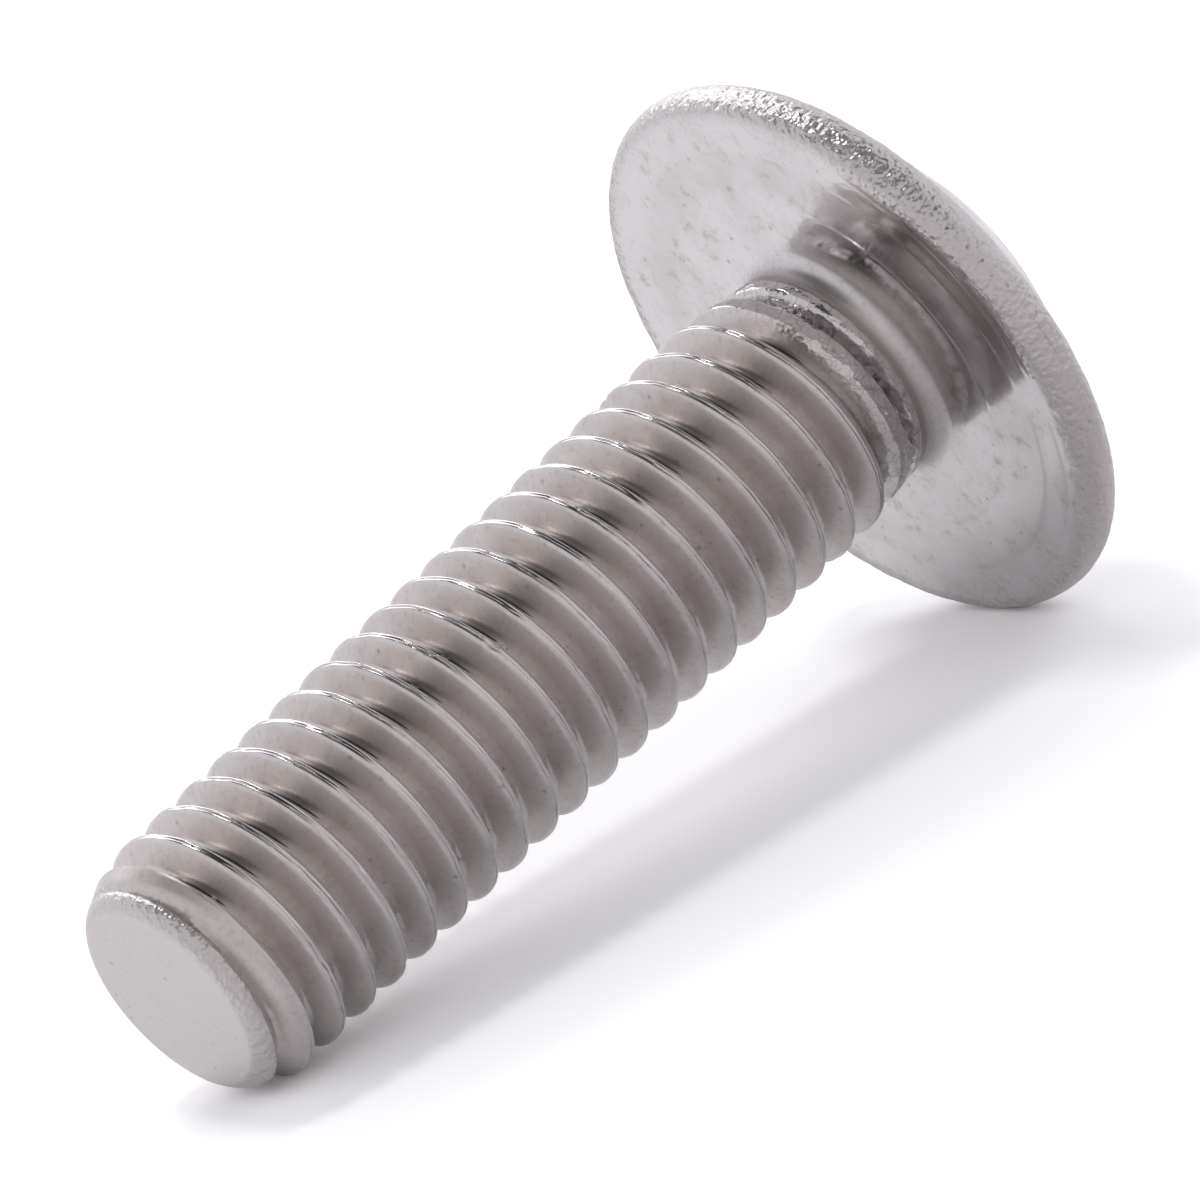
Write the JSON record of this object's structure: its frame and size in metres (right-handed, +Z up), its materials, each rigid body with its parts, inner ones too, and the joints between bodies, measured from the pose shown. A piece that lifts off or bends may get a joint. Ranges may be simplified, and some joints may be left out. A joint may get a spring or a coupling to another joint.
{
  "type": "flanged button head screw",
  "caption": "Metric machine screw with a low domed head, a wide thin flange under it, a hexagon socket and a fully threaded shank, lying on its side.",
  "frame": {"origin": "bottom centre of the bounding box of the screw as it lies on a flat surface", "axes": "+Z is up. The screw's axis lies in the XZ plane and rises at 10.58 degrees from the tip, at -X, to the head, at +X, because it rests on the rim of its flange and on its first full thread crest."},
  "size_m": [0.0212, 0.0114, 0.0112],
  "materials": {
    "steel": "plain stainless steel, semi-bright, as forged and thread-rolled"
  },
  "bodies": {
    "root": {"screw": "steel"}
  },
  "joints": []
}
